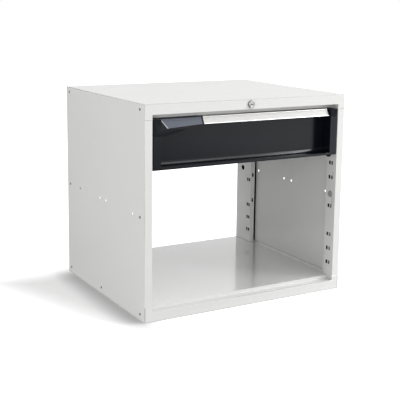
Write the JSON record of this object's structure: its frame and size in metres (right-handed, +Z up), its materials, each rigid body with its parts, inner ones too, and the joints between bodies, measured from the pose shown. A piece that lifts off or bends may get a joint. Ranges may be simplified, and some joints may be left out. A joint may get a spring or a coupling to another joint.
{
  "type": "storage cabinet",
  "caption": "Open sheet-steel storage cabinet with slotted corner posts, a full-extension drawer with a slanted handle rail under the top, and a cam lock in the fascia.",
  "frame": {"origin": "middle of the base, on the floor", "axes": "+Z up, the front looks along -Y, +X runs to the right seen from the front"},
  "size_m": [0.717, 0.606, 0.65],
  "materials": {
    "top_tray": "light grey powder coat, fine satin",
    "bottom_tray": "light grey powder coat, fine satin",
    "base_frame": "light grey powder coat, fine satin",
    "left_side_panel": "light grey powder coat, fine satin",
    "right_side_panel": "light grey powder coat, fine satin",
    "left_front_post": "light grey powder coat, fine satin",
    "right_front_post": "light grey powder coat, fine satin",
    "left_rear_post": "light grey powder coat, fine satin",
    "right_rear_post": "light grey powder coat, fine satin",
    "left_post_plug": "grey moulded plastic",
    "right_post_plug": "grey moulded plastic",
    "left_screw_bottom_front": "black oxide",
    "left_screw_bottom_centre": "black oxide",
    "left_screw_bottom_back": "black oxide",
    "left_screw_middle_front": "black oxide",
    "left_screw_middle_back": "black oxide",
    "left_screw_top_front": "black oxide",
    "left_screw_top_back": "black oxide",
    "right_screw_bottom_front": "black oxide",
    "right_screw_bottom_centre": "black oxide",
    "right_screw_bottom_back": "black oxide",
    "right_screw_middle_front": "black oxide",
    "right_screw_middle_back": "black oxide",
    "right_screw_top_front": "black oxide",
    "right_screw_top_back": "black oxide",
    "left_cabinet_rail": "zinc plated",
    "right_cabinet_rail": "zinc plated",
    "left_rail_clip": "near black moulded plastic",
    "right_rail_clip": "near black moulded plastic",
    "left_middle_rail": "zinc plated",
    "right_middle_rail": "zinc plated",
    "left_roller_outer_front": "white nylon",
    "left_roller_outer_back": "white nylon",
    "left_roller_inner_front": "white nylon",
    "left_roller_inner_back": "white nylon",
    "right_roller_outer_front": "white nylon",
    "right_roller_outer_back": "white nylon",
    "right_roller_inner_front": "white nylon",
    "right_roller_inner_back": "white nylon",
    "left_drawer_rail": "zinc plated",
    "right_drawer_rail": "zinc plated",
    "lock_barrel": "polished",
    "lock_nut": "zinc plated",
    "lock_plug": "polished",
    "lock_cam": "zinc plated",
    "cam_screw": "zinc plated",
    "drawer_front": "anthracite powder coat, satin",
    "drawer_tub": "anthracite powder coat, satin",
    "drawer_back": "anthracite powder coat, satin",
    "handle_rail": "anodised, satin",
    "label_card": "plain white card",
    "label_cover": "clear strip over the card",
    "left_handle_cap": "near black moulded plastic",
    "right_handle_cap": "near black moulded plastic",
    "name_tag": "slate grey moulded plastic"
  },
  "bodies": {
    "carcass": {"top_tray": "top_tray", "bottom_tray": "bottom_tray", "base_frame": "base_frame", "left_side_panel": "left_side_panel", "right_side_panel": "right_side_panel", "left_front_post": "left_front_post", "right_front_post": "right_front_post", "left_rear_post": "left_rear_post", "right_rear_post": "right_rear_post", "left_post_plug": "left_post_plug", "right_post_plug": "right_post_plug", "left_screw_bottom_front": "left_screw_bottom_front", "left_screw_bottom_centre": "left_screw_bottom_centre", "left_screw_bottom_back": "left_screw_bottom_back", "left_screw_middle_front": "left_screw_middle_front", "left_screw_middle_back": "left_screw_middle_back", "left_screw_top_front": "left_screw_top_front", "left_screw_top_back": "left_screw_top_back", "right_screw_bottom_front": "right_screw_bottom_front", "right_screw_bottom_centre": "right_screw_bottom_centre", "right_screw_bottom_back": "right_screw_bottom_back", "right_screw_middle_front": "right_screw_middle_front", "right_screw_middle_back": "right_screw_middle_back", "right_screw_top_front": "right_screw_top_front", "right_screw_top_back": "right_screw_top_back", "left_cabinet_rail": "left_cabinet_rail", "right_cabinet_rail": "right_cabinet_rail", "left_rail_clip": "left_rail_clip", "right_rail_clip": "right_rail_clip", "lock_barrel": "lock_barrel", "lock_nut": "lock_nut"},
    "drawer": {"drawer_front": "drawer_front", "drawer_tub": "drawer_tub", "drawer_back": "drawer_back", "handle_rail": "handle_rail", "label_card": "label_card", "label_cover": "label_cover", "left_handle_cap": "left_handle_cap", "right_handle_cap": "right_handle_cap", "name_tag": "name_tag", "left_drawer_rail": "left_drawer_rail", "right_drawer_rail": "right_drawer_rail"},
    "left_runner": {"left_middle_rail": "left_middle_rail"},
    "right_runner": {"right_middle_rail": "right_middle_rail"},
    "left_outer_front_wheel": {"left_roller_outer_front": "left_roller_outer_front"},
    "left_outer_back_wheel": {"left_roller_outer_back": "left_roller_outer_back"},
    "left_inner_front_wheel": {"left_roller_inner_front": "left_roller_inner_front"},
    "left_inner_back_wheel": {"left_roller_inner_back": "left_roller_inner_back"},
    "right_outer_front_wheel": {"right_roller_outer_front": "right_roller_outer_front"},
    "right_outer_back_wheel": {"right_roller_outer_back": "right_roller_outer_back"},
    "right_inner_front_wheel": {"right_roller_inner_front": "right_roller_inner_front"},
    "right_inner_back_wheel": {"right_roller_inner_back": "right_roller_inner_back"},
    "lock": {"lock_plug": "lock_plug", "lock_cam": "lock_cam", "cam_screw": "cam_screw"}
  },
  "joints": [
    {"name": "drawer_slide", "type": "slide", "parent": "carcass", "child": "drawer", "axis": [0, -1, 0], "range_m": [0, 0.45]},
    {"name": "left_runner_slide", "type": "slide", "parent": "carcass", "child": "left_runner", "axis": [0, -1, 0], "range_m": [0, 0.2255]},
    {"name": "right_runner_slide", "type": "slide", "parent": "carcass", "child": "right_runner", "axis": [0, -1, 0], "range_m": [0, 0.2255]},
    {"name": "left_outer_front_roll", "type": "hinge", "parent": "left_runner", "child": "left_outer_front_wheel", "pos_m": [-0.32655, -0.035, 0.496], "axis": [1, 0, 0], "range_deg": [0, 1175]},
    {"name": "left_outer_back_roll", "type": "hinge", "parent": "left_runner", "child": "left_outer_back_wheel", "pos_m": [-0.32655, 0.1858, 0.496], "axis": [1, 0, 0], "range_deg": [0, 1175]},
    {"name": "left_inner_front_roll", "type": "hinge", "parent": "left_runner", "child": "left_inner_front_wheel", "pos_m": [-0.31395, -0.2289, 0.496], "axis": [1, 0, 0], "range_deg": [0, 1175]},
    {"name": "left_inner_back_roll", "type": "hinge", "parent": "left_runner", "child": "left_inner_back_wheel", "pos_m": [-0.31395, -0.0342, 0.496], "axis": [1, 0, 0], "range_deg": [0, 1175]},
    {"name": "right_outer_front_roll", "type": "hinge", "parent": "right_runner", "child": "right_outer_front_wheel", "pos_m": [0.32655, -0.035, 0.496], "axis": [1, 0, 0], "range_deg": [0, 1175]},
    {"name": "right_outer_back_roll", "type": "hinge", "parent": "right_runner", "child": "right_outer_back_wheel", "pos_m": [0.32655, 0.1858, 0.496], "axis": [1, 0, 0], "range_deg": [0, 1175]},
    {"name": "right_inner_front_roll", "type": "hinge", "parent": "right_runner", "child": "right_inner_front_wheel", "pos_m": [0.31395, -0.2289, 0.496], "axis": [1, 0, 0], "range_deg": [0, 1175]},
    {"name": "right_inner_back_roll", "type": "hinge", "parent": "right_runner", "child": "right_inner_back_wheel", "pos_m": [0.31395, -0.0342, 0.496], "axis": [1, 0, 0], "range_deg": [0, 1175]},
    {"name": "lock_turn", "type": "hinge", "parent": "carcass", "child": "lock", "pos_m": [0, -0.297, 0.6345], "axis": [0, 1, 0], "range_deg": [0, 90]}
  ],
  "couplings": [
    {"joint": "left_runner_slide", "follows": "drawer_slide", "ratio": 0.5},
    {"joint": "right_runner_slide", "follows": "drawer_slide", "ratio": 0.5},
    {"joint": "left_outer_front_roll", "follows": "drawer_slide", "rad_per_m": 45.455},
    {"joint": "left_outer_back_roll", "follows": "drawer_slide", "rad_per_m": 45.455},
    {"joint": "left_inner_front_roll", "follows": "drawer_slide", "rad_per_m": 45.455},
    {"joint": "left_inner_back_roll", "follows": "drawer_slide", "rad_per_m": 45.455},
    {"joint": "right_outer_front_roll", "follows": "drawer_slide", "rad_per_m": 45.455},
    {"joint": "right_outer_back_roll", "follows": "drawer_slide", "rad_per_m": 45.455},
    {"joint": "right_inner_front_roll", "follows": "drawer_slide", "rad_per_m": 45.455},
    {"joint": "right_inner_back_roll", "follows": "drawer_slide", "rad_per_m": 45.455}
  ]
}
